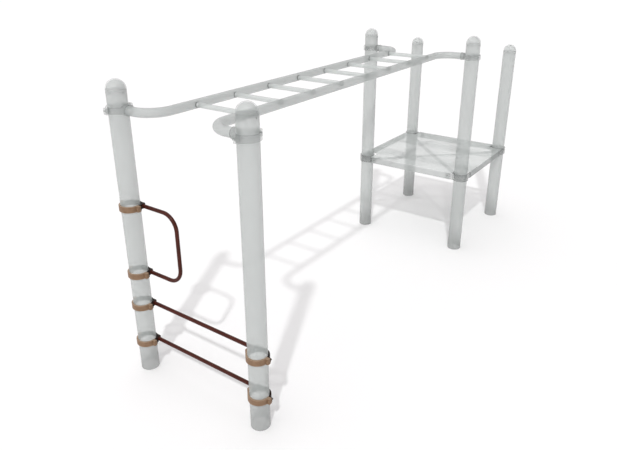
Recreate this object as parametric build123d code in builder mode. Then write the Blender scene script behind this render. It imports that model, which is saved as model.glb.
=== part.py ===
"""Playground monkey bars: an overhead ladder between two front posts and a square deck on four posts.

Frame: origin on the ground at the centre of the plan box, +X from the front posts to the deck,
+Y to the left seen from the front posts, +Z up. Millimetres.
"""
from build123d import *
import os
from math import asin, cos, sin, sqrt

# ---- overall layout ---------------------------------------------------------------------------
post_pitch = 1044.0          # centre to centre across the ladder and both ways under the deck
ladder_span = 3068.0         # centre to centre, front posts to the deck's front posts
tall_post_height = 2089.5    # ground to the crown of the dome, four ladder posts
short_post_height = 1894.5   # ground to the crown of the dome, two rear deck posts
rail_height = 1904.5         # ground to the centre line of the overhead rails

# ---- posts and caps ---------------------------------------------------------------------------
post_diameter = 127.0
post_wall = 3.2
cap_wall = 4.0
cap_spigot_length = 38.0
cap_clearance = 0.2          # spigot in the post, on the radius
seam_chamfer = 0.8
rivet_radius = 2.4
rivet_head_radius = 6.0
rivet_head_height = 2.2
rivet_drop = 18.0            # rivet centre below the seam
rivets_per_cap = 3
rivet_clearance = 0.1

# ---- overhead ladder --------------------------------------------------------------------------
rail_diameter = 60.3
rail_wall = 3.4
rail_spacing = 441.5         # centre to centre of the two rails
rail_straight = 45.45        # between the socket's mouth and the bend
rung_diameter = 33.4
rung_wall = 3.2
rung_pitch = 354.5
first_rung = 346.5           # front post centre to the first rung
last_rung_room = 220.0       # at least this much from the last rung to the deck's front posts
rung_insertion = 5.0         # rung end past the rail's inner wall
weld_gap = 0.1               # tube in its hole or socket, on the radius

# ---- post clamps ------------------------------------------------------------------------------
clamp_height = 41.0
clamp_wall = 11.0
clamp_clearance = 0.3        # clamp bore round the post, on the radius
clamp_split = 3.0            # gap between the two halves
ladder_lug_thickness = 17.5
ladder_lug_length = 23.2     # clamp's outer face to the lug's end
access_parting = 10.5        # post's mid-plane to the split's, towards the back
access_front_thickness = 22.6
access_lug_length = 16.2
access_back_height = 32.0
access_back_thickness = 6.5
access_back_lug_inset = 2.5  # back lug's end short of the front lug's
lug_corner_radius = 4.0
lug_root_radius = 1.5
clamp_edge_chamfer = 1.5
socket_wall = 2.4
rail_socket_length = 26.0    # from the clamp's outer face
socket_web = 3.0             # solid between the post bore side and a socket's floor

# ---- clamp bolts ------------------------------------------------------------------------------
bolt_radius = 4.0
bolt_hole_clearance = 0.4
bolt_to_lug_end = 8.9
bolt_head_radius = 7.0
bolt_head_height = 4.4
bolt_recess_radius = 2.8     # hexagon socket in the head, centre to corner
bolt_recess_depth = 2.6
nut_across_flats = 13.0
nut_height = 6.5
bolt_tail = 2.5              # thread showing past the nut
nut_clearance = 0.1

# ---- access rungs and loop handle at the front posts ------------------------------------------
access_diameter = 26.7
access_wall = 2.9
access_inset = 13.5          # tube centre line inside the back of the post
access_socket_depth = 12.0
boss_half_width = 18.0
boss_corner_radius = 6.0
low_rung_height = 225.5
high_rung_height = 522.0
handle_bottom_height = 768.0
handle_top_height = 1257.0
handle_reach = 364.0         # post centre to the handle's upright
handle_bend_radius = 110.0   # centre line

# ---- deck -------------------------------------------------------------------------------------
deck_top = 798.0
deck_overhang = 58.0         # post centre to the deck's outer face
deck_plate = 4.0
skirt_depth = 67.0
skirt_gap = 15.2             # collar to the end of each skirt
deck_fold_radius = 3.0
notch_clearance = 3.0        # deck plate to the collar
channel_offset = 260.0       # deck centre to each cross channel
channel_width = 60.0
channel_depth = 50.0
channel_wall = 3.0
channel_clearance = 1.0      # channel end to the skirt
brace_width = 50.0
brace_thickness = 5.0
foot_length = 75.2           # collar to the end of its foot
foot_lap = 62.0              # length of brace lying under a foot
tab_thickness = 5.0
tab_bolt_inset = 23.0        # skirt's end to its bolt, and bolt to the tab's end
tab_top_clearance = 1.0

# ---- worked-out values ------------------------------------------------------------------------
post_radius = post_diameter / 2
bore_radius = post_radius + clamp_clearance
clamp_outer_radius = bore_radius + clamp_wall
rail_radius = rail_diameter / 2
rung_radius = rung_diameter / 2
access_radius = access_diameter / 2
ladder_lug_reach = clamp_outer_radius + ladder_lug_length
ladder_bolt_reach = ladder_lug_reach - bolt_to_lug_end
access_lug_reach = clamp_outer_radius + access_lug_length
access_back_lug_reach = access_lug_reach - access_back_lug_inset
access_bolt_reach = access_lug_reach - bolt_to_lug_end
access_front_seat = access_parting - clamp_split / 2
access_back_seat = access_parting + clamp_split / 2
half_pitch = post_pitch / 2
overall_length = ladder_lug_reach + ladder_span + post_pitch + clamp_outer_radius
x_front = -overall_length / 2 + ladder_lug_reach
x_deck_front = x_front + ladder_span
x_deck_rear = x_deck_front + post_pitch
x_deck_centre = (x_deck_front + x_deck_rear) / 2
rail_y = rail_spacing / 2
rail_socket_floor = clamp_outer_radius + socket_web
rail_socket_mouth = clamp_outer_radius + rail_socket_length
rail_bend_radius = half_pitch - rail_y - rail_socket_mouth - rail_straight
rung_count = 1 + int((ladder_span - first_rung - last_rung_room) / rung_pitch)
access_offset = post_radius - access_inset
access_socket_floor = sqrt((bore_radius + socket_web) ** 2 - (access_offset - access_radius) ** 2)
boss_reach = access_socket_floor + access_socket_depth
skirt_setback = clamp_outer_radius + skirt_gap
tab_bolt_reach = skirt_setback + tab_bolt_inset
tab_reach = tab_bolt_reach + tab_bolt_inset
brace_end_reach = clamp_outer_radius + foot_length

sides = {"left": 1, "right": -1}
posts = {}
for side, sign in sides.items():
    posts[f"front_post_{side}"] = (x_front, sign * half_pitch, tall_post_height)
    posts[f"deck_front_post_{side}"] = (x_deck_front, sign * half_pitch, tall_post_height)
    posts[f"deck_rear_post_{side}"] = (x_deck_rear, sign * half_pitch, short_post_height)

os.makedirs("parts", exist_ok=True)


def save(piece, name):
    """Label a finished piece and write its STEP file."""
    piece.label = name
    export_step(piece, f"parts/{name}.step")


def placed(piece, location):
    """A copy of a piece made in its own frame, moved to where it belongs."""
    with BuildPart() as copy:
        with Locations(location):
            add(piece)
    return copy.part


def group(piece, locations):
    """Separate copies of one fastener in one node."""
    with BuildPart() as copies:
        with Locations(*locations):
            add(piece)
    return copies.part


def dome_middle(radius, height):
    """Height and radius of the point halfway along the arc from a dome's rim to its crown."""
    sphere = (radius**2 + height**2) / (2 * height)
    half_angle = asin(radius / sphere) / 2
    return height - sphere * (1 - cos(half_angle)), sphere * sin(half_angle)


# ---- posts, caps and rivets -------------------------------------------------------------------
rivet_angles = [30 + 360 / rivets_per_cap * i for i in range(rivets_per_cap)]


def post(height):
    """Round tube from the ground to the cap's seam, drilled for the cap's rivets."""
    seam = height - post_radius
    with BuildPart() as tube:
        with BuildSketch():
            Circle(post_radius)
            Circle(post_radius - post_wall, mode=Mode.SUBTRACT)
        extrude(amount=seam)
        chamfer(tube.faces().sort_by(Axis.Z)[-1].outer_wire().edges(), seam_chamfer)
        for angle in rivet_angles:
            outward = Vector(1, 0, 0).rotate(Axis.Z, angle)
            with BuildSketch(Plane((0, 0, seam - rivet_drop), z_dir=outward)):
                Circle(rivet_radius + rivet_clearance)
            extrude(amount=post_diameter, mode=Mode.SUBTRACT)
    return tube.part


def cap():
    """Hollow dome on a spigot. Its frame has z = 0 on the seam."""
    spigot_radius = post_radius - post_wall - cap_clearance
    inner_radius = spigot_radius - cap_wall
    outer_middle = dome_middle(post_radius, post_radius)
    inner_middle = dome_middle(inner_radius, inner_radius)
    with BuildPart() as dome:
        with BuildSketch(Plane.XZ):
            with BuildLine():
                Line((inner_radius, -cap_spigot_length), (spigot_radius, -cap_spigot_length))
                Line((spigot_radius, -cap_spigot_length), (spigot_radius, 0))
                Line((spigot_radius, 0), (post_radius, 0))
                ThreePointArc((post_radius, 0), outer_middle, (0, post_radius))
                Line((0, post_radius), (0, inner_radius))
                ThreePointArc((0, inner_radius), inner_middle, (inner_radius, 0))
                Line((inner_radius, 0), (inner_radius, -cap_spigot_length))
            make_face()
        revolve(axis=Axis.Z)
        for angle in rivet_angles:
            outward = Vector(1, 0, 0).rotate(Axis.Z, angle)
            with BuildSketch(Plane((0, 0, -rivet_drop), z_dir=outward)):
                Circle(rivet_radius + rivet_clearance)
            extrude(amount=post_diameter, mode=Mode.SUBTRACT)
    return dome.part


def rivet():
    """Domed rivet along +X with the underside of its head at x = 0."""
    shank_length = post_wall + cap_clearance + cap_wall
    head_middle = dome_middle(rivet_head_radius, rivet_head_height)
    with BuildPart() as pin:
        with BuildSketch(Plane.XZ):
            with BuildLine():
                Line((-shank_length, 0), (rivet_head_height, 0))
                ThreePointArc((rivet_head_height, 0), head_middle, (0, rivet_head_radius))
                Line((0, rivet_head_radius), (0, rivet_radius))
                Line((0, rivet_radius), (-shank_length, rivet_radius))
                Line((-shank_length, rivet_radius), (-shank_length, 0))
            make_face()
        revolve(axis=Axis.X)
    return pin.part


dome_cap = cap()
cap_rivet = rivet()
rivet_places = []
for name, (x, y, height) in posts.items():
    save(placed(post(height), Location((x, y, 0))), name)
    seam = height - post_radius
    save(placed(dome_cap, Location((x, y, seam))), name.replace("_post_", "_cap_"))
    for angle in rivet_angles:
        seat = Vector(post_radius, 0, seam - rivet_drop).rotate(Axis.Z, angle)
        rivet_places.append(Location((x + seat.X, y + seat.Y, seat.Z), (0, 0, angle)))
save(group(cap_rivet, rivet_places), "cap_rivets")

# ---- overhead ladder --------------------------------------------------------------------------
rung_xs = [x_front + first_rung + rung_pitch * i for i in range(rung_count)]
rail_end_y = half_pitch - rail_socket_floor

for side, sign in sides.items():
    with BuildPart() as rail:
        with BuildLine() as route:
            FilletPolyline(
                (x_front, sign * rail_end_y, rail_height),
                (x_front, sign * rail_y, rail_height),
                (x_deck_front, sign * rail_y, rail_height),
                (x_deck_front, sign * rail_end_y, rail_height),
                radius=rail_bend_radius,
            )
        with BuildSketch(Plane((x_front, sign * rail_end_y, rail_height), z_dir=(0, -sign, 0))):
            Circle(rail_radius)
            Circle(rail_radius - rail_wall, mode=Mode.SUBTRACT)
        sweep()
        for x in rung_xs:
            with BuildSketch(Plane((x, sign * rail_y, rail_height), z_dir=(0, -sign, 0))):
                Circle(rung_radius + weld_gap)
            extrude(amount=rail_diameter, mode=Mode.SUBTRACT)
    save(rail.part, f"ladder_rail_{side}")

rung_half_length = rail_y - rail_radius + rail_wall + rung_insertion
for number, x in enumerate(rung_xs, start=1):
    with BuildPart() as rung:
        with BuildSketch(Plane((x, -rung_half_length, rail_height), z_dir=(0, 1, 0))):
            Circle(rung_radius)
            Circle(rung_radius - rung_wall, mode=Mode.SUBTRACT)
        extrude(amount=2 * rung_half_length)
    save(rung.part, f"ladder_rung_{number}")


# ---- clamps -----------------------------------------------------------------------------------
def clamp_half(seat, height, lug_thickness, lug_reach, bolt_reach, rail_socket=False, boss_side=0):
    """Half of a post clamp that fills x above seat, mid-height at z = 0, lugs along Y.

    A seat below 0 reaches past the post's mid-plane with straight sides. rail_socket adds a round
    socket pointing along +X. boss_side of 1 or -1 adds a block with a socket for an access tube
    pointing along +Y or -Y.
    """
    lug_back = seat + lug_thickness
    root_y = sqrt(clamp_outer_radius**2 - lug_back**2)
    with BuildPart() as half:
        with BuildSketch(Plane.XY.offset(-height / 2)) as plan:
            Circle(clamp_outer_radius)
            with Locations((seat + lug_thickness / 2, 0)):
                Rectangle(lug_thickness, 2 * lug_reach)
            with Locations((seat - lug_reach, 0)):
                Rectangle(2 * lug_reach, 3 * lug_reach, mode=Mode.SUBTRACT)
            back_corners = plan.vertices().filter_by(lambda v: abs(v.X - lug_back) < 0.01)
            lug_ends = back_corners.filter_by(lambda v: abs(abs(v.Y) - lug_reach) < 0.01)
            fillet(lug_ends, lug_corner_radius)
            roots = plan.vertices().filter_by(lambda v: abs(abs(v.Y) - root_y) < 0.01)
            fillet(roots.filter_by(lambda v: abs(v.X - lug_back) < 0.01), lug_root_radius)
        extrude(amount=height)
        rims = half.faces().sort_by(Axis.Z)[-1].edges() + half.faces().sort_by(Axis.Z)[0].edges()
        chamfer(rims, clamp_edge_chamfer)
        if boss_side:
            with BuildSketch(Plane.XY.offset(-height / 2)) as block:
                with Locations((access_offset, boss_side * boss_reach / 2)):
                    Rectangle(2 * boss_half_width, boss_reach)
                ends = block.vertices().filter_by(lambda v: abs(abs(v.Y) - boss_reach) < 0.01)
                fillet(ends, boss_corner_radius)
            extrude(amount=height)
        if rail_socket:
            with BuildSketch(Plane.YZ):
                Circle(rail_radius + weld_gap + socket_wall)
            extrude(amount=rail_socket_mouth)
        with BuildSketch(Plane.XY.offset(-rail_diameter)):
            Circle(bore_radius)
            if seat < 0:
                with Locations((seat / 2, 0)):
                    Rectangle(-seat, 2 * bore_radius)
        extrude(amount=2 * rail_diameter, mode=Mode.SUBTRACT)
        if rail_socket:
            with BuildSketch(Plane.YZ.offset(rail_socket_floor)):
                Circle(rail_radius + weld_gap)
            extrude(amount=rail_socket_length, mode=Mode.SUBTRACT)
        if boss_side:
            floor_centre = (access_offset, boss_side * access_socket_floor, 0)
            with BuildSketch(Plane(floor_centre, z_dir=(0, boss_side, 0))):
                Circle(access_radius + weld_gap)
            extrude(amount=2 * access_socket_depth, mode=Mode.SUBTRACT)
        with BuildSketch(Plane.YZ.offset(seat)):
            with Locations((bolt_reach, 0), (-bolt_reach, 0)):
                Circle(bolt_radius + bolt_hole_clearance)
        extrude(amount=lug_reach, mode=Mode.SUBTRACT)
    return half.part


def bolt(grip):
    """Button-head bolt along +X: head on the -X side of x = 0, shank through the grip and nut."""
    middle_height, middle_radius = dome_middle(bolt_head_radius, bolt_head_height)
    tip = grip + nut_height + bolt_tail
    with BuildPart() as screw:
        with BuildSketch(Plane.XZ):
            with BuildLine():
                Line((-bolt_head_height, 0), (tip, 0))
                Line((tip, 0), (tip, bolt_radius))
                Line((tip, bolt_radius), (0, bolt_radius))
                Line((0, bolt_radius), (0, bolt_head_radius))
                ThreePointArc((0, bolt_head_radius), (-middle_height, middle_radius),
                              (-bolt_head_height, 0))
            make_face()
        revolve(axis=Axis.X)
        with BuildSketch(Plane.YZ.offset(bolt_recess_depth - bolt_head_height)):
            RegularPolygon(bolt_recess_radius, 6)
        extrude(amount=-bolt_head_height, mode=Mode.SUBTRACT)
    return screw.part


def nut():
    """Hexagon nut along +X with its seat at x = 0."""
    with BuildPart() as hexagon:
        with BuildSketch(Plane.YZ):
            RegularPolygon(nut_across_flats / 2, 6, major_radius=False)
            Circle(bolt_radius + nut_clearance, mode=Mode.SUBTRACT)
        extrude(amount=nut_height)
    return hexagon.part


ladder_seat = clamp_split / 2
ladder_back = ladder_seat + ladder_lug_thickness
access_front = access_front_seat - access_front_thickness
access_back = access_back_seat + access_back_thickness
ladder_bolt = bolt(2 * ladder_back)
access_bolt = bolt(access_back - access_front)
hex_nut = nut()
ladder_lug = (clamp_height, ladder_lug_thickness, ladder_lug_reach, ladder_bolt_reach)
ladder_plain_half = clamp_half(ladder_seat, *ladder_lug)
ladder_rail_half = clamp_half(ladder_seat, *ladder_lug, rail_socket=True)
access_front_half = clamp_half(
    -access_front_seat, clamp_height, access_front_thickness, access_lug_reach, access_bolt_reach
)


def clamp_bolt_places(x, y, z, angle, head_x, nut_x, bolt_reach):
    """Head and nut places of a clamp's two bolts, which lie along the clamp's X, turned by angle."""
    heads, nuts = [], []
    for sign in (1, -1):
        head = Vector(head_x, sign * bolt_reach, 0).rotate(Axis.Z, angle)
        seat = Vector(nut_x, sign * bolt_reach, 0).rotate(Axis.Z, angle)
        heads.append(Location((x + head.X, y + head.Y, z), (0, 0, angle)))
        nuts.append(Location((x + seat.X, y + seat.Y, z), (0, 0, angle)))
    return heads, nuts


frame_nut_places = []
ladder_bolt_places = []
for end, x in (("front", x_front), ("deck", x_deck_front)):
    for side, sign in sides.items():
        y = sign * half_pitch
        inward = -90 * sign
        inner_place = Location((x, y, rail_height), (0, 0, inward))
        outer_place = Location((x, y, rail_height), (0, 0, inward + 180))
        save(placed(ladder_rail_half, inner_place), f"ladder_clamp_inner_{end}_{side}")
        save(placed(ladder_plain_half, outer_place), f"ladder_clamp_outer_{end}_{side}")
        heads, nuts = clamp_bolt_places(
            x, y, rail_height, inward, -ladder_back, ladder_back, ladder_bolt_reach
        )
        ladder_bolt_places += heads
        frame_nut_places += nuts
save(group(ladder_bolt, ladder_bolt_places), "ladder_clamp_bolts")

access_levels = [
    ("low_rung", low_rung_height, ("left", "right")),
    ("high_rung", high_rung_height, ("left", "right")),
    ("handle_bottom", handle_bottom_height, ("left",)),
    ("handle_top", handle_top_height, ("left",)),
]
back_halves = {}
for side, sign in sides.items():
    back_halves[side] = clamp_half(
        access_back_seat, access_back_height, access_back_thickness,
        access_back_lug_reach, access_bolt_reach, boss_side=-sign,
    )
access_bolt_places, access_nut_places = [], []
for level, z, level_sides in access_levels:
    for side in level_sides:
        y = sides[side] * half_pitch
        front_place = Location((x_front, y, z), (0, 0, 180))
        save(placed(back_halves[side], Location((x_front, y, z))), f"{level}_clamp_back_{side}")
        save(placed(access_front_half, front_place), f"{level}_clamp_front_{side}")
        heads, nuts = clamp_bolt_places(
            x_front, y, z, 0, access_front, access_back, access_bolt_reach
        )
        access_bolt_places += heads
        access_nut_places += nuts
save(group(access_bolt, access_bolt_places), "access_clamp_bolts")
save(group(hex_nut, access_nut_places), "access_clamp_nuts")

# ---- access rungs and loop handle -------------------------------------------------------------
x_access = x_front + access_offset
access_end_y = half_pitch - access_socket_floor

for name, z in (("access_rung_low", low_rung_height), ("access_rung_high", high_rung_height)):
    with BuildPart() as access_rung:
        with BuildSketch(Plane((x_access, -access_end_y, z), z_dir=(0, 1, 0))):
            Circle(access_radius)
            Circle(access_radius - access_wall, mode=Mode.SUBTRACT)
        extrude(amount=2 * access_end_y)
    save(access_rung.part, name)

with BuildPart() as handle:
    with BuildLine() as loop:
        FilletPolyline(
            (x_access, access_end_y, handle_top_height),
            (x_access, half_pitch - handle_reach, handle_top_height),
            (x_access, half_pitch - handle_reach, handle_bottom_height),
            (x_access, access_end_y, handle_bottom_height),
            radius=handle_bend_radius,
        )
    start = (x_access, access_end_y, handle_top_height)
    with BuildSketch(Plane(start, z_dir=(0, -1, 0))):
        Circle(access_radius)
        Circle(access_radius - access_wall, mode=Mode.SUBTRACT)
    sweep()
save(handle.part, "loop_handle")

# ---- deck -------------------------------------------------------------------------------------
deck_side = post_pitch + 2 * deck_overhang
deck_under = deck_top - deck_plate
deck_bottom = deck_top - skirt_depth
skirt_length = post_pitch - 2 * skirt_setback
notch_half = clamp_outer_radius + notch_clearance
skirt_centre = deck_side / 2 - deck_plate / 2
bolt_hole_radius = bolt_radius + bolt_hole_clearance
tab_bolt_offset = half_pitch - tab_bolt_reach
tab_middle = (deck_bottom + deck_under) / 2

with BuildPart() as deck:
    with BuildSketch(Plane.XY.offset(deck_under)):
        with Locations((x_deck_centre, 0)):
            Rectangle(deck_side, deck_side)
            with GridLocations(post_pitch, post_pitch, 2, 2):
                Rectangle(2 * notch_half, 2 * notch_half, mode=Mode.SUBTRACT)
    extrude(amount=deck_plate)
    with BuildSketch(Plane.XY.offset(deck_bottom)):
        with Locations((x_deck_centre - skirt_centre, 0), (x_deck_centre + skirt_centre, 0)):
            Rectangle(deck_plate, skirt_length)
        with Locations((x_deck_centre, -skirt_centre), (x_deck_centre, skirt_centre)):
            Rectangle(skirt_length, deck_plate)
    extrude(amount=skirt_depth)
    top_edges = deck.faces().sort_by(Axis.Z)[-1].edges()
    outer_folds = top_edges.filter_by(
        lambda e: max(abs(e.center().X - x_deck_centre), abs(e.center().Y)) > deck_side / 2 - 0.1
    )
    fillet(outer_folds, deck_fold_radius)
    front_skirt = (x_deck_front - deck_overhang, 0, tab_middle)
    with BuildSketch(Plane(front_skirt, x_dir=(0, 1, 0), z_dir=(1, 0, 0))):
        with Locations((tab_bolt_offset, 0), (-tab_bolt_offset, 0)):
            Circle(bolt_hole_radius)
    extrude(amount=deck_side, mode=Mode.SUBTRACT)
    right_skirt = (x_deck_centre, -deck_side / 2, tab_middle)
    with BuildSketch(Plane(right_skirt, x_dir=(1, 0, 0), z_dir=(0, 1, 0))):
        with Locations((tab_bolt_offset, 0), (-tab_bolt_offset, 0)):
            Circle(bolt_hole_radius)
    extrude(amount=deck_side, mode=Mode.SUBTRACT)
save(deck.part, "deck_plate")

channel_length = deck_side - 2 * deck_plate - 2 * channel_clearance
channel_inside = channel_width - 2 * channel_wall
channel_hollow = channel_depth - channel_wall
for end, x in (("front", x_deck_centre - channel_offset), ("rear", x_deck_centre + channel_offset)):
    start = (x, -channel_length / 2, deck_under)
    with BuildPart() as channel:
        with BuildSketch(Plane(start, x_dir=(1, 0, 0), z_dir=(0, 1, 0))):
            with Locations((0, channel_depth / 2)):
                Rectangle(channel_width, channel_depth)
            with Locations((0, channel_hollow / 2)):
                Rectangle(channel_inside, channel_hollow, mode=Mode.SUBTRACT)
        extrude(amount=channel_length)
    save(channel.part, f"deck_channel_{end}")

# Two flat braces cross under the channels. The upper one touches them, the lower one touches the upper.
channel_bottom = deck_under - channel_depth
brace_levels = {"upper": channel_bottom, "lower": channel_bottom - brace_thickness}
diagonal_length = post_pitch * sqrt(2)
brace_length = diagonal_length - 2 * (brace_end_reach - foot_lap)
foot_bolt_reach = brace_end_reach - foot_lap / 2
foot_hole = diagonal_length / 2 - foot_bolt_reach
for level, angle in (("upper", 45), ("lower", -45)):
    with BuildPart() as brace:
        with BuildSketch(Plane.XY.offset(-brace_thickness)):
            Rectangle(brace_length, brace_width)
            with Locations((foot_hole, 0), (-foot_hole, 0)):
                Circle(bolt_hole_radius, mode=Mode.SUBTRACT)
        extrude(amount=brace_thickness)
    brace_place = Location((x_deck_centre, 0, brace_levels[level]), (0, 0, angle))
    save(placed(brace.part, brace_place), f"deck_brace_{level}")


def collar(inward_x, inward_y, foot_bottom):
    """Ring round a deck post with tabs behind two skirts and a foot over the brace's end."""
    tab_near = deck_overhang - deck_plate - tab_thickness
    tab_far = deck_overhang - deck_plate
    tab_centre = (tab_near + tab_far) / 2
    tab_height = deck_under - tab_top_clearance - deck_bottom
    towards_deck = Vector(inward_x, inward_y, 0).normalized()
    with BuildPart() as ring:
        with BuildSketch(Plane.XY.offset(deck_bottom)):
            Circle(clamp_outer_radius)
        extrude(amount=skirt_depth)
        with BuildSketch(Plane.XY.offset(deck_bottom)):
            with Locations((-inward_x * tab_centre, inward_y * tab_reach / 2)):
                Rectangle(tab_thickness, tab_reach)
            with Locations((inward_x * tab_reach / 2, -inward_y * tab_centre)):
                Rectangle(tab_reach, tab_thickness)
        extrude(amount=tab_height)
        with BuildSketch(Plane((0, 0, foot_bottom), x_dir=towards_deck, z_dir=(0, 0, 1))):
            with Locations((brace_end_reach / 2, 0)):
                Rectangle(brace_end_reach, brace_width)
            with Locations((foot_bolt_reach, 0)):
                Circle(bolt_hole_radius, mode=Mode.SUBTRACT)
        extrude(amount=brace_thickness)
        with BuildSketch(Plane.XY.offset(deck_bottom)):
            Circle(bore_radius)
        extrude(amount=skirt_depth, mode=Mode.SUBTRACT)
        with BuildSketch(Plane((0, inward_y * tab_bolt_reach, tab_middle), z_dir=(-inward_x, 0, 0))):
            Circle(bolt_hole_radius)
        extrude(amount=post_diameter, mode=Mode.SUBTRACT)
        with BuildSketch(Plane((inward_x * tab_bolt_reach, 0, tab_middle), z_dir=(0, -inward_y, 0))):
            Circle(bolt_hole_radius)
        extrude(amount=post_diameter, mode=Mode.SUBTRACT)
    return ring.part


tab_grip = deck_plate + tab_thickness
foot_grip = 2 * brace_thickness
tab_bolt = bolt(tab_grip)
foot_bolt = bolt(foot_grip)
tab_bolt_places, foot_bolt_places = [], []
for end, x, inward_x in (("front", x_deck_front, 1), ("rear", x_deck_rear, -1)):
    for side, sign in sides.items():
        y, inward_y = sign * half_pitch, -sign
        level = "upper" if inward_x * inward_y > 0 else "lower"
        corner_collar = collar(inward_x, inward_y, brace_levels[level])
        save(placed(corner_collar, Location((x, y, 0))), f"deck_collar_{end}_{side}")
        # bolts through the front or rear skirt, then through the side skirt
        facing = 0 if inward_x > 0 else 180
        head_x = x - inward_x * deck_overhang
        bolt_y = y + inward_y * tab_bolt_reach
        tab_bolt_places.append(Location((head_x, bolt_y, tab_middle), (0, 0, facing)))
        nut_x = head_x + inward_x * tab_grip
        frame_nut_places.append(Location((nut_x, bolt_y, tab_middle), (0, 0, facing)))
        facing = 90 * inward_y
        head_y = y - inward_y * deck_overhang
        bolt_x = x + inward_x * tab_bolt_reach
        tab_bolt_places.append(Location((bolt_x, head_y, tab_middle), (0, 0, facing)))
        nut_y = head_y + inward_y * tab_grip
        frame_nut_places.append(Location((bolt_x, nut_y, tab_middle), (0, 0, facing)))
        # bolt up through the brace's end and the foot
        reach = foot_bolt_reach / sqrt(2)
        foot_x, foot_y = x + inward_x * reach, y + inward_y * reach
        underside = brace_levels[level] - brace_thickness
        foot_bolt_places.append(Location((foot_x, foot_y, underside), (0, -90, 0)))
        frame_nut_places.append(Location((foot_x, foot_y, underside + foot_grip), (0, -90, 0)))

with BuildPart() as deck_bolts:
    with Locations(*tab_bolt_places):
        add(tab_bolt)
    with Locations(*foot_bolt_places):
        add(foot_bolt)
save(deck_bolts.part, "deck_bolts")
save(group(hex_nut, frame_nut_places), "frame_nuts")
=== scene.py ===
"""Monkey bars: finishes, weld beads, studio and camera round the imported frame."""
from math import cos, pi, radians, sin

import bpy
import numpy as np
from mathutils import Matrix, Vector


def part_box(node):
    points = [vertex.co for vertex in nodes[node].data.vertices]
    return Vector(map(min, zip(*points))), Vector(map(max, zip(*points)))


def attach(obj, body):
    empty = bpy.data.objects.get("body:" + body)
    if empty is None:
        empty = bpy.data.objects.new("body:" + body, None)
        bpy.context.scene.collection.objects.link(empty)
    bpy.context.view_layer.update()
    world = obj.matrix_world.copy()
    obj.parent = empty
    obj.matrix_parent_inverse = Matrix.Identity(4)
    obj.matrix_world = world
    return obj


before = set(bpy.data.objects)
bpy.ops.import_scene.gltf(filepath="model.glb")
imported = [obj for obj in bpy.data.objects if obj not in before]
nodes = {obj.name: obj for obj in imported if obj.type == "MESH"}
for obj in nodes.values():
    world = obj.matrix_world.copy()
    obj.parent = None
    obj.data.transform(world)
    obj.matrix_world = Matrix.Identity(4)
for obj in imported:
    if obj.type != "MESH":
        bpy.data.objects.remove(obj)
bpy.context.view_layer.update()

# ---- places taken from the frame ---------------------------------------------------------------
def centre(node):
    """Middle of a CAD node's box."""
    low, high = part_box(node)
    return (low + high) / 2


def size(node):
    """Extents of a CAD node's box."""
    low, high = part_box(node)
    return high - low


FRONT = centre("front_post_left")
DECK_FRONT = centre("deck_front_post_left")
DECK_REAR = centre("deck_rear_post_left")
POST_RADIUS = size("front_post_left").x / 2
POST_WALL = 0.0032
RUNG_NAMES = sorted(n for n in nodes if n.startswith("ladder_rung_"))
RUNGS = [centre(n) for n in RUNG_NAMES]
RUNG_RADIUS = size(RUNG_NAMES[0]).x / 2
RUNG_WALL = 0.0032
RAIL_RADIUS = size("ladder_rail_left").z / 2
RAIL_WALL = 0.0034
RAIL_BEND = 0.155
CAP_SPIGOT = 0.038
TALL_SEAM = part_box("front_cap_left")[0].z + CAP_SPIGOT
SHORT_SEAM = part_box("deck_rear_cap_left")[0].z + CAP_SPIGOT
RAIL_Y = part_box("ladder_rail_left")[0].y + RAIL_RADIUS
RAIL_Z = RUNGS[0].z
SOCKET_MOUTH_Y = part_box("ladder_clamp_inner_front_left")[0].y
ACCESS_X = centre("access_rung_low").x
ACCESS_RADIUS = size("access_rung_low").x / 2
BOSS_REACH = 0.06785             # post's centre to the end of an access clamp's boss
BOSS_END_Y = FRONT.y - BOSS_REACH
LOW_RUNG_Z = centre("access_rung_low").z
HIGH_RUNG_Z = centre("access_rung_high").z
HANDLE_BOTTOM_Z = centre("handle_bottom_clamp_front_left").z
HANDLE_TOP_Z = centre("handle_top_clamp_front_left").z
ACCESS_LEVELS = (LOW_RUNG_Z, HIGH_RUNG_Z, HANDLE_BOTTOM_Z, HANDLE_TOP_Z)
CLAMP_HALF_HEIGHT = size("low_rung_clamp_front_left").z / 2
DECK_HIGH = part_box("deck_plate")[1]


# ---- finishes ----------------------------------------------------------------------------------
class Wire:
    """A shader socket that takes part in arithmetic. Each operation adds one Math node."""

    def __init__(self, graph, socket):
        self.graph = graph
        self.socket = socket

    def math(self, operation, *values):
        """A Math node with these values or wires as its inputs."""
        sockets = dict(enumerate(values))
        return self.graph.node("ShaderNodeMath", {"operation": operation}, sockets)

    def tap(self, output):
        """Another output of the node that this wire leaves."""
        return Wire(self.graph, self.socket.node.outputs[output])

    def __add__(self, other):
        return self.math("ADD", self, other)

    def __radd__(self, other):
        return self.math("ADD", other, self)

    def __sub__(self, other):
        return self.math("SUBTRACT", self, other)

    def __rsub__(self, other):
        return self.math("SUBTRACT", other, self)

    def __mul__(self, other):
        return self.math("MULTIPLY", self, other)

    def __rmul__(self, other):
        return self.math("MULTIPLY", other, self)

    def __truediv__(self, other):
        return self.math("DIVIDE", self, other)

    def __rtruediv__(self, other):
        return self.math("DIVIDE", other, self)

    def __pow__(self, other):
        return self.math("POWER", self, other)

    def __neg__(self):
        return self.math("MULTIPLY", self, -1.0)

    def __abs__(self):
        return self.math("ABSOLUTE", self)

    def least(self, other):
        """The smaller of the two."""
        return self.math("MINIMUM", self, other)

    def most(self, other):
        """The larger of the two."""
        return self.math("MAXIMUM", self, other)

    def wrapped(self, low, high):
        """The value brought between low and high by whole steps of high - low."""
        return self.math("WRAP", self, high, low)


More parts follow.
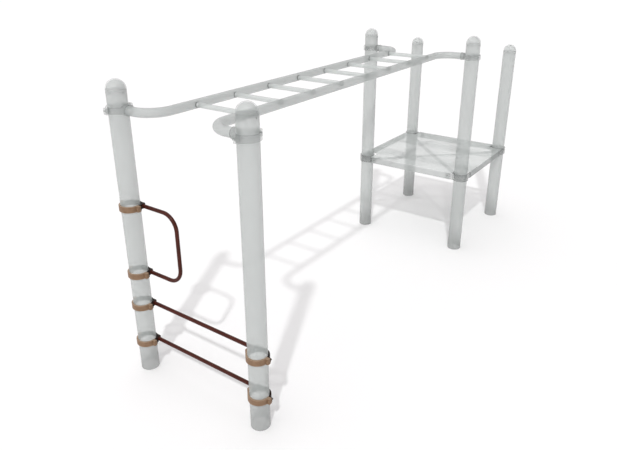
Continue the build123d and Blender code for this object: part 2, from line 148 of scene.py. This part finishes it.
class Graph:
    """A shader node tree that hands out wires."""

    def __init__(self, tree):
        self.tree = tree

    def node(self, kind, settings=None, sockets=None, output=0):
        """One node: its type, its settings, then the values or wires of its sockets."""
        made = self.tree.nodes.new(kind)
        for key, value in (settings or {}).items():
            setattr(made, key, value)
        for key, value in (sockets or {}).items():
            if isinstance(value, Wire):
                self.tree.links.new(value.socket, made.inputs[key])
            else:
                made.inputs[key].default_value = value
        return Wire(self, made.outputs[output])

    def rise(self, value, low, high):
        """0 below low, 1 above high and a smooth step between."""
        sockets = {"Value": value, "From Min": low, "From Max": high}
        return self.node("ShaderNodeMapRange", {"interpolation_type": "SMOOTHSTEP"}, sockets)


class Finish(Graph):
    """A node material under construction, patterned on Object coordinates in metres."""

    def __init__(self, name):
        self.material = bpy.data.materials.new(name)
        self.material.use_nodes = True
        super().__init__(self.material.node_tree)
        self.tree.nodes.clear()
        self.place = self.node("ShaderNodeTexCoord", output="Object")
        self.x = self.node("ShaderNodeSeparateXYZ", sockets={0: self.place})
        self.y = self.x.tap("Y")
        self.z = self.x.tap("Z")

    def noise(self, scale, detail=2.0, roughness=0.5, stretch=None):
        """Noise of a given scale per metre, from about 0.3 to 0.7. stretch scales the axes."""
        place = self.place
        if stretch:
            place = self.node("ShaderNodeMapping", {}, {"Vector": place, "Scale": stretch})
        sockets = {"Vector": place, "Scale": scale, "Detail": detail, "Roughness": roughness}
        return self.node("ShaderNodeTexNoise", {}, sockets)

    def cells(self, scale):
        """Distance to the nearest cell point."""
        sockets = {"Vector": self.place, "Scale": scale}
        return self.node("ShaderNodeTexVoronoi", {"feature": "F1"}, sockets)

    def mix(self, mask, first, second):
        """Colour from first to second as mask goes from 0 to 1."""
        settings = {"data_type": "RGBA", "clamp_factor": True}
        sockets = {0: mask, 6: first, 7: second}
        return self.node("ShaderNodeMix", settings, sockets, output=2)

    @staticmethod
    def length(a, b):
        """Hypotenuse of two wires."""
        return (a * a + b * b) ** 0.5

    def bump(self, height, distance, strength=1.0):
        """Normal of a surface raised by height times distance, in metres."""
        sockets = {"Height": height, "Distance": distance, "Strength": strength}
        return self.node("ShaderNodeBump", {}, sockets)

    def shade(self, **sockets):
        """Ends the material with a Principled shader. Socket names use _ for a space."""
        named = {key.replace("_", " "): value for key, value in sockets.items()}
        shader = self.node("ShaderNodeBsdfPrincipled", {}, named)
        end = self.tree.nodes.new("ShaderNodeOutputMaterial")
        self.tree.links.new(shader.socket, end.inputs["Surface"])
        return self.material


COAT_TINT = (0.945, 1.0, 0.978)
POST_GREY, RAIL_GREY, PIPE_GREY = 0.525, 0.51, 0.62
GROUND_SHADE_GREY = 0.31               # of the posts near the floor: painted shade
JOINT_SHADE_GREY = 0.16                # of the rungs' ends at the rails: painted shade
TOP_GREY, WORN_GREY = 0.66, 0.60
# Painted shade: the deck's skirts are darker than its top, the side skirts darkest.
SKIRT_SHADE_GREY, SIDE_SHADE_GREY = 0.49, 0.38
BORE_ALPHA = 0.03                # a tube's inner wall is nearly clear
SKIN = 0.001                     # depth of a tube's outer surface in its mask
SEAM_STEP = 0.0004               # half the height of the step at a cap's seam
BELOW_TALL = (0.06, 0.05)        # under the tall seam: clear of tall spigots and short domes
GROUND_SHADE_HEIGHTS = (-0.06, 0.34)         # heights between which the painted shade near the floor fades out
GRIP = (0.09, 0.17)              # from a rung's middle, where its polish fades out
JOINT_SHADE_LENGTH = 0.009                   # length of a rung's end darkened as painted shade
FOLD = (0.012, 0.006)            # under the deck's top, where the skirts' painted shade fades out
SIDE_SKIN = (0.008, 0.005)       # in from the deck's sides, where the sides' deeper painted shade fades in


def grey(level):
    """Opaque pale green-grey of a given level."""
    return (*(level * tint for tint in COAT_TINT), 1.0)


def see_through(mask, inside, outside):
    """Alpha from inside to outside as mask goes from 0 to 1."""
    return inside + (outside - inside) * mask


def powder_coat(finish, level, spread=0.012):
    """Colour, roughness and normal of a pale satin powder coat with a fine orange peel."""
    cloud = finish.noise(5.0, 3.0)
    fleck = finish.noise(420.0, 2.0)
    tone = finish.rise(cloud * 0.7 + fleck * 0.3, 0.36, 0.64)
    colour = finish.mix(tone, grey(level * (1 - spread)), grey(level * (1 + spread)))
    roughness = 0.34 + 0.12 * finish.noise(38.0, 3.0) + 0.05 * fleck
    peel = finish.noise(520.0, 1.0)
    normal = finish.bump(peel, 0.00012, 0.3)
    return colour, roughness, normal


def shaded_towards_ground(finish, colour, dark):
    """Darkens a colour towards the ground: painted shade near the floor."""
    ragged = finish.z + (finish.noise(22.0, 3.0) - 0.5) * 0.05
    unshaded = finish.rise(ragged, *GROUND_SHADE_HEIGHTS)
    return finish.mix(unshaded, grey(dark), colour)


def post_finish():
    """See-through pale coat. The outer wall carries it and the bore is nearly clear."""
    finish = Finish("post_powder_coat")
    colour, roughness, normal = powder_coat(finish, POST_GREY)
    # Painted shade: the coat darkens towards the floor.
    colour = shaded_towards_ground(finish, colour, GROUND_SHADE_GREY)
    to_front = abs(finish.x - FRONT.x)
    to_deck = abs(finish.x - DECK_FRONT.x)
    to_rear = abs(finish.x - DECK_REAR.x)
    along = to_front.least(to_deck).least(to_rear)
    across = abs(abs(finish.y) - FRONT.y)
    radius = finish.length(along, across)
    outer = finish.rise(radius, POST_RADIUS - POST_WALL, POST_RADIUS - SKIN)
    return finish.shade(Base_Color=colour, Roughness=roughness, Normal=normal,
                        Alpha=see_through(outer, BORE_ALPHA, 0.55),
                        Coat_Weight=0.15, Coat_Roughness=0.2)


def cap_finish():
    """The dome carries the coat. The spigot inside the tube is nearly clear."""
    finish = Finish("cap_powder_coat")
    colour, roughness, normal = powder_coat(finish, PIPE_GREY)
    tall = finish.rise(finish.z, TALL_SEAM - SEAM_STEP, TALL_SEAM + SEAM_STEP)
    short = finish.rise(finish.z, SHORT_SEAM - SEAM_STEP, SHORT_SEAM + SEAM_STEP)
    below_tall = 1 - finish.rise(finish.z, *(TALL_SEAM - drop for drop in BELOW_TALL))
    dome = tall.most(short * below_tall)
    return finish.shade(Base_Color=colour, Roughness=roughness, Normal=normal,
                        Alpha=see_through(dome, 0.015, 0.34),
                        Coat_Weight=0.2, Coat_Roughness=0.2)


def rail_finish():
    """The tube's outer wall carries the coat. Distance is taken from the bent centre line."""
    finish = Finish("rail_powder_coat")
    colour, roughness, normal = powder_coat(finish, RAIL_GREY)
    along = (finish.x - FRONT.x).least(DECK_FRONT.x - finish.x)
    across = abs(finish.y) - RAIL_Y
    arm_a = (RAIL_BEND - along).most(0.0)
    arm_b = (RAIL_BEND - across).most(0.0)
    sideways = abs(finish.length(arm_a, arm_b) - RAIL_BEND)
    radius = finish.length(sideways, finish.z - RAIL_Z)
    outer = finish.rise(radius, RAIL_RADIUS - RAIL_WALL, RAIL_RADIUS - SKIN)
    return finish.shade(Base_Color=colour, Roughness=roughness, Normal=normal,
                        Alpha=see_through(outer, BORE_ALPHA, 0.58),
                        Coat_Weight=0.15, Coat_Roughness=0.2)


def rung_finish():
    """As the rails, with a polished grip in the middle of each rung, and painted shade darkening
    its ends at the rails.
    """
    finish = Finish("rung_powder_coat")
    colour, roughness, normal = powder_coat(finish, PIPE_GREY)
    pitch = RUNGS[1].x - RUNGS[0].x
    along = (finish.x - RUNGS[0].x).wrapped(-pitch / 2, pitch / 2)
    radius = finish.length(along, finish.z - RAIL_Z)
    outer = finish.rise(radius, RUNG_RADIUS - RUNG_WALL, RUNG_RADIUS - SKIN)
    grip = 1 - finish.rise(abs(finish.y), *GRIP)
    # Painted shade: each rung darkens, and grows more opaque, just before it meets a rail.
    rail_side = RAIL_Y - RAIL_RADIUS
    joint_shade = finish.rise(abs(finish.y), rail_side - JOINT_SHADE_LENGTH, rail_side)
    colour = finish.mix(joint_shade, colour, grey(JOINT_SHADE_GREY))
    alpha = see_through(outer, BORE_ALPHA, 0.58) + 0.3 * outer * joint_shade
    return finish.shade(Base_Color=colour, Roughness=roughness - 0.1 * grip, Normal=normal,
                        Alpha=alpha, Coat_Weight=0.15, Coat_Roughness=0.2)


def casting_finish(name, level, alpha):
    """Pale cast ring: powder coat over a slightly sandy surface."""
    finish = Finish(name)
    colour, roughness, _ = powder_coat(finish, level)
    sand = finish.noise(260.0, 4.0, 0.6)
    return finish.shade(Base_Color=colour, Roughness=roughness + 0.06, Alpha=alpha,
                        Normal=finish.bump(sand, 0.00025, 0.6))


def deck_finish():
    """Vinyl-dipped sheet: pebbled grain, darker where feet land, with painted shade on the skirts,
    deepest on the sides.
    """
    finish = Finish("deck_vinyl")
    pebble = finish.cells(260.0)
    drift = finish.noise(3.2, 4.0)
    tread = finish.rise(drift + 0.12 * finish.noise(60.0, 3.0), 0.42, 0.7)
    colour = finish.mix(tread, grey(TOP_GREY), grey(WORN_GREY))
    seats = finish.rise(pebble, 0.1, 0.6)
    # Painted shade on the upright skirts, deeper on the sides; they are also a little more opaque.
    skirt_shade = 1 - finish.rise(finish.z, *(DECK_HIGH.z - drop for drop in FOLD))
    side = skirt_shade * finish.rise(abs(finish.y), *(DECK_HIGH.y - inset for inset in SIDE_SKIN))
    colour = finish.mix(skirt_shade, colour, grey(SKIRT_SHADE_GREY))
    colour = finish.mix(side, colour, grey(SIDE_SHADE_GREY))
    return finish.shade(Base_Color=colour, Roughness=0.5 + 0.14 * drift + 0.05 * seats,
                        Normal=finish.bump(1 - seats, 0.0004, 0.6),
                        Alpha=0.42 + 0.08 * skirt_shade + 0.08 * side)


def steel_finish(name, level, alpha, metallic):
    """Turned fastener steel with fine lathe lines and stained edges."""
    finish = Finish(name)
    lines = finish.noise(900.0, 2.0, stretch=(1.0, 1.0, 3.0))
    stain = finish.rise(finish.noise(150.0, 3.0), 0.45, 0.62)
    colour = finish.mix(stain, grey(level), grey(level * 0.78))
    return finish.shade(Base_Color=colour, Metallic=metallic,
                        Roughness=0.26 + 0.22 * lines + 0.1 * stain,
                        Normal=finish.bump(lines, 0.00005, 0.5), Alpha=alpha)


def brown_tube_finish():
    """Gloss reddish-brown coat with a fine orange peel and faint rubbing where hands close."""
    finish = Finish("brown_gloss_coat")
    cloud = finish.noise(9.0, 3.0)
    fleck = finish.noise(600.0, 2.0)
    tone = finish.rise(cloud * 0.6 + fleck * 0.4, 0.38, 0.62)
    colour = finish.mix(tone, (0.050, 0.0095, 0.0052, 1.0), (0.070, 0.0140, 0.0082, 1.0))
    scuff = finish.rise(finish.noise(55.0, 5.0, 0.65, stretch=(1.0, 0.25, 1.0)), 0.60, 0.72)
    colour = finish.mix(scuff * 0.25, colour, (0.12, 0.048, 0.036, 1.0))
    peel = finish.noise(480.0, 1.0)
    return finish.shade(Base_Color=colour, Roughness=0.26 + 0.1 * cloud + 0.22 * scuff,
                        Normal=finish.bump(peel, 0.0001, 0.5), Specular_IOR_Level=0.16,
                        Coat_Weight=0.04, Coat_Roughness=0.10)


def rim_wear_and_top_sheen(finish):
    """Mask of the rims and the flat top and bottom faces of the four access clamp levels, ragged:
    rubbed paint at the rims, and painted sheen on the top faces.
    """
    nearest = abs(finish.z - ACCESS_LEVELS[0])
    for level in ACCESS_LEVELS[1:]:
        nearest = nearest.least(abs(finish.z - level))
    ragged = nearest + (finish.noise(180.0, 3.0, 0.6) - 0.5) * 0.003
    return finish.rise(ragged, CLAMP_HALF_HEIGHT - 0.0022, CLAMP_HALF_HEIGHT - 0.0004)


def dark_clamp_finish():
    """Dark brown casting of the access clamps' back halves, lighter at the rims and top faces: a
    little rubbed paint, and painted sheen.
    """
    finish = Finish("dark_brown_casting")
    cloud = finish.noise(40.0, 3.0)
    colour = finish.mix(cloud, (0.011, 0.0030, 0.0020, 1.0), (0.019, 0.0060, 0.0040, 1.0))
    colour = finish.mix(rim_wear_and_top_sheen(finish) * 0.5, colour, (0.045, 0.018, 0.013, 1.0))
    sand = finish.noise(240.0, 4.0, 0.6)
    return finish.shade(Base_Color=colour, Roughness=0.42 + 0.15 * cloud, Specular_IOR_Level=0.12,
                        Normal=finish.bump(sand, 0.00025, 0.6))


def tan_clamp_finish():
    """Tan casting of the access clamps' front halves, speckled, and lighter at the rims and top
    faces: rubbed paint, and painted sheen.
    """
    finish = Finish("tan_casting")
    cloud = finish.noise(30.0, 4.0)
    speck = finish.noise(500.0, 2.0)
    tone = finish.rise(cloud * 0.6 + speck * 0.4, 0.36, 0.64)
    colour = finish.mix(tone, (0.200, 0.118, 0.066, 1.0), (0.243, 0.148, 0.086, 1.0))
    colour = finish.mix(rim_wear_and_top_sheen(finish) * 0.7, colour, (0.36, 0.26, 0.18, 1.0))
    sand = finish.noise(240.0, 4.0, 0.6)
    return finish.shade(Base_Color=colour, Roughness=0.42 + 0.16 * cloud, Specular_IOR_Level=0.35,
                        Normal=finish.bump(sand, 0.00025, 0.6))


def clamp_bolt_finish():
    """Heads coated like the tan clamps in front of the posts, dark plated shanks behind."""
    finish = Finish("clamp_bolts")
    behind = finish.rise(finish.x, FRONT.x - 0.002, FRONT.x + 0.002)
    lines = finish.noise(900.0, 2.0, stretch=(3.0, 1.0, 1.0))
    colour = finish.mix(behind, (0.235, 0.140, 0.075, 1.0), (0.045, 0.038, 0.034, 1.0))
    return finish.shade(Base_Color=colour, Metallic=0.8 * behind, Roughness=0.34 + 0.2 * lines,
                        Normal=finish.bump(lines, 0.00005, 0.5))


POSTS = post_finish()
CAPS = cap_finish()
RAILS = rail_finish()
RUNG_COAT = rung_finish()
CLAMP_CAST = casting_finish("clamp_casting_coat", 0.47, 0.30)
DECK = deck_finish()
DECK_FRAME = casting_finish("deck_frame_coat", 0.44, 0.30)
DECK_COLLAR = casting_finish("deck_collar_coat", 0.34, 0.40)
DECK_CHANNEL = casting_finish("deck_channel_coat", 0.50, 0.10)
RIVET_STEEL = steel_finish("rivet_steel", 0.70, 0.10, 0.2)
SOCKET_WELD = casting_finish("socket_weld_coat", 0.50, 0.32)
PALE_STEEL = steel_finish("stainless_steel", 0.60, 0.32, 0.4)
# Rung weld beads coated far darker than the rungs: painted shade along the joints.
RUNG_WELD_SHADE = casting_finish("weld_coat", 0.20, 0.75)
BROWN = brown_tube_finish()
DARK_CAST = dark_clamp_finish()
TAN_CAST = tan_clamp_finish()
DARK_STEEL = steel_finish("dark_plated_steel", 0.06, 1.0, 0.8)
CLAMP_BOLTS = clamp_bolt_finish()

# A node takes the first finish whose words its name holds.
FINISH_OF = [
    ("_post_", POSTS),
    ("_cap_", CAPS),
    ("rivets", RIVET_STEEL),
    ("ladder_rail", RAILS),
    ("ladder_rung", RUNG_COAT),
    ("access_clamp_bolts", CLAMP_BOLTS),
    ("access_clamp_nuts", DARK_STEEL),
    ("bolts", PALE_STEEL),
    ("nuts", PALE_STEEL),
    ("ladder_clamp", CLAMP_CAST),
    ("clamp_back", DARK_CAST),
    ("clamp_front", TAN_CAST),
    ("access_rung", BROWN),
    ("loop_handle", BROWN),
    ("deck_plate", DECK),
    ("deck_channel", DECK_CHANNEL),
    ("deck_collar", DECK_COLLAR),
    ("deck_", DECK_FRAME),
]
for name, node in nodes.items():
    coat = next(finish for words, finish in FINISH_OF if words in name)
    for slot in node.material_slots:
        slot.material = coat


# ---- weld beads --------------------------------------------------------------------------------
def add_piece(name, corners, faces, finish):
    """A smooth mesh piece with outward faces, riding on the frame."""
    mesh = bpy.data.meshes.new(name)
    mesh.from_pydata(corners.tolist(), [], faces.tolist())
    mesh.polygons.foreach_set("use_smooth", np.ones(len(faces), dtype=bool))
    mesh.materials.append(finish)
    mesh.update()
    piece = bpy.data.objects.new(name, mesh)
    bpy.context.scene.collection.objects.link(piece)
    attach(piece, "root")
    return piece


def ring_faces(rows, columns):
    """Quads of a grid that closes both ways: corner (i, j) is joined to (i+1, j) and (i, j+1)."""
    i, j = np.meshgrid(np.arange(rows), np.arange(columns), indexing="ij")
    after_i, after_j = (i + 1) % rows, (j + 1) % columns
    quads = np.stack([i * columns + j, after_i * columns + j,
                      after_i * columns + after_j, i * columns + after_j], axis=-1)
    return quads.reshape(-1, 4)


BEAD_STEPS = 150                 # points along a bead
BEAD_SIDES = 10                  # points round its section
PHASE_STEP = 1.7                 # so that no two beads of a piece ripple alike
SOCKET_STANDOFF, ACCESS_STANDOFF = 0.0012, 0.0008


def closed_bead(path, outward, radius, ripples, phase):
    """A rippled bead round a closed joint.

    path is the joint's line, n points by 3, and outward the unit direction away from the tube at
    each. side is outward crossed with the line's tangent, and lift is the tangent crossed with
    side. The section is a circle spanned by lift and side. Its radius is radius times
    1 + 0.13 sin(ripples t + phase) + 0.04 sin(3 t + phase), with t from 0 to 2 pi along the joint.
    """
    count = len(path)
    t = np.linspace(0, 2 * pi, count, endpoint=False)
    tangent = np.roll(path, -1, axis=0) - np.roll(path, 1, axis=0)
    tangent /= np.linalg.norm(tangent, axis=1, keepdims=True)
    side = np.cross(outward, tangent)
    side /= np.linalg.norm(side, axis=1, keepdims=True)
    lift = np.cross(tangent, side)
    swell = radius * (1 + 0.13 * np.sin(ripples * t + phase) + 0.04 * np.sin(3 * t + phase))
    around = np.linspace(0, 2 * pi, BEAD_SIDES, endpoint=False)
    section = (np.cos(around)[None, :, None] * lift[:, None, :]
               + np.sin(around)[None, :, None] * side[:, None, :])
    corners = path[:, None, :] + swell[:, None, None] * section
    return corners.reshape(-1, 3), ring_faces(count, len(around))


def saddle(x, sign, steps):
    """Line where a rung meets its rail: a circle round the rung, on the rail's surface."""
    t = np.linspace(0, 2 * pi, steps, endpoint=False)
    up = RUNG_RADIUS * np.sin(t)
    y = sign * (RAIL_Y - np.sqrt(RAIL_RADIUS**2 - up**2))
    path = np.stack([x + RUNG_RADIUS * np.cos(t), y, RAIL_Z + up], axis=-1)
    outward = np.stack([np.cos(t), np.zeros(steps), np.sin(t)], axis=-1)
    return path, outward


def hoop(x, y, z, radius, steps):
    """Circle round a tube that lies along Y."""
    t = np.linspace(0, 2 * pi, steps, endpoint=False)
    outward = np.stack([np.cos(t), np.zeros(steps), np.sin(t)], axis=-1)
    path = np.array((x, y, z)) + radius * outward
    return path, outward


def add_beads(name, joints, radius, ripples, finish):
    """One piece holding a bead for each joint's (path, outward)."""
    corners, faces, used = [], [], 0
    for number, (path, outward) in enumerate(joints):
        spots, quads = closed_bead(path, outward, radius, ripples, PHASE_STEP * number)
        corners.append(spots)
        faces.append(quads + used)
        used += len(spots)
    return add_piece(name, np.concatenate(corners), np.concatenate(faces), finish)


for side, sign in (("left", 1), ("right", -1)):
    add_beads(f"rung_welds_{side}", [saddle(p.x, sign, BEAD_STEPS) for p in RUNGS],
              0.0026, 26, RUNG_WELD_SHADE)
    mouth_y = sign * SOCKET_MOUTH_Y
    mouths = [hoop(x, mouth_y, RAIL_Z, RAIL_RADIUS + SOCKET_STANDOFF, BEAD_STEPS)
              for x in (FRONT.x, DECK_FRONT.x)]
    add_beads(f"rail_socket_welds_{side}", mouths, 0.0028, 34, SOCKET_WELD)
rung_ends = [(sign, z) for z in (LOW_RUNG_Z, HIGH_RUNG_Z) for sign in (1, -1)]
handle_ends = [(1, HANDLE_BOTTOM_Z), (1, HANDLE_TOP_Z)]
access_ends = [hoop(ACCESS_X, sign * BOSS_END_Y, z, ACCESS_RADIUS + ACCESS_STANDOFF, BEAD_STEPS)
               for sign, z in rung_ends + handle_ends]
add_beads("access_tube_welds", access_ends, 0.0020, 22, BROWN)

# ---- studio ------------------------------------------------------------------------------------
scene = bpy.context.scene
scene.view_settings.view_transform = "Standard"

FLOOR_REACH = 250.0
FLOOR_COLOUR = (0.925, 0.93, 0.927, 1.0)
floor_mesh = bpy.data.meshes.new("studio_floor")
floor_corners = [(x * FLOOR_REACH, y * FLOOR_REACH, 0)
                 for x, y in ((-1, -1), (1, -1), (1, 1), (-1, 1))]
floor_mesh.from_pydata(floor_corners, [], [(0, 1, 2, 3)])
floor = bpy.data.objects.new("studio_floor", floor_mesh)
scene.collection.objects.link(floor)
paper = Finish("white_floor")
floor_mesh.materials.append(paper.shade(Base_Color=FLOOR_COLOUR, Roughness=0.95,
                                        Specular_IOR_Level=0.0))

# The room is brightest overhead and dim on one side. The dimming fades in above the horizon.
ROOM_COLOUR = (1.0, 0.976, 0.986, 1.0)
SHADED_SIDE = (0.583, -0.812, 0.0)
HORIZON_BAND = (0.10, 0.35)
ROOM_LEVEL, ROOM_TOP, ROOM_SIDE = 0.75, 0.35, -0.80
world = bpy.data.worlds.new("soft_room")
scene.world = world
world.use_nodes = True
background = world.node_tree.nodes["Background"]
background.inputs["Color"].default_value = ROOM_COLOUR
room = Graph(world.node_tree)


def room_facing(direction):
    """Cosine between where the light comes from and a direction, at least 0."""
    sockets = {0: room.node("ShaderNodeTexCoord", output="Generated"), 1: direction}
    cosine = room.node("ShaderNodeVectorMath", {"operation": "DOT_PRODUCT"}, sockets, "Value")
    return cosine.most(0.0)


up = room_facing((0.0, 0.0, 1.0))
dim = room_facing(SHADED_SIDE) * room.rise(up, *HORIZON_BAND)
room_light = ROOM_LEVEL + ROOM_TOP * up + ROOM_SIDE * dim
world.node_tree.links.new(room_light.socket, background.inputs["Strength"])

SUN_FROM = Vector((-0.5907, -0.2848, 0.7550))
sun = bpy.data.lights.new("key_light", "SUN")
sun.energy = 1.25
sun.angle = radians(2.2)
key = bpy.data.objects.new("key_light", sun)
key.rotation_mode = "QUATERNION"
key.rotation_quaternion = SUN_FROM.to_track_quat("Z", "Y")
scene.collection.objects.link(key)

# ---- camera ------------------------------------------------------------------------------------
EYE = Vector((-4.3178, -2.5383, 2.7824))
YAW, PITCH, ROLL = 0.62288, 0.39393, 0.00488
ahead = Vector((cos(YAW) * cos(PITCH), sin(YAW) * cos(PITCH), -sin(PITCH)))
level_right = Vector((sin(YAW), -cos(YAW), 0))
level_down = ahead.cross(level_right)
right = level_right * cos(ROLL) + level_down * sin(ROLL)
down = level_down * cos(ROLL) - level_right * sin(ROLL)
turn = Matrix((right, -down, -ahead)).transposed()
lens = bpy.data.cameras.new("camera")
lens.sensor_width = 36.0
lens.lens = 35.125
lens.shift_x = 0.0017
lens.shift_y = -0.0354
lens.clip_start, lens.clip_end = 0.1, 1000.0
camera = bpy.data.objects.new("camera", lens)
camera.matrix_world = Matrix.Translation(EYE) @ turn.to_4x4()
scene.collection.objects.link(camera)
scene.camera = camera
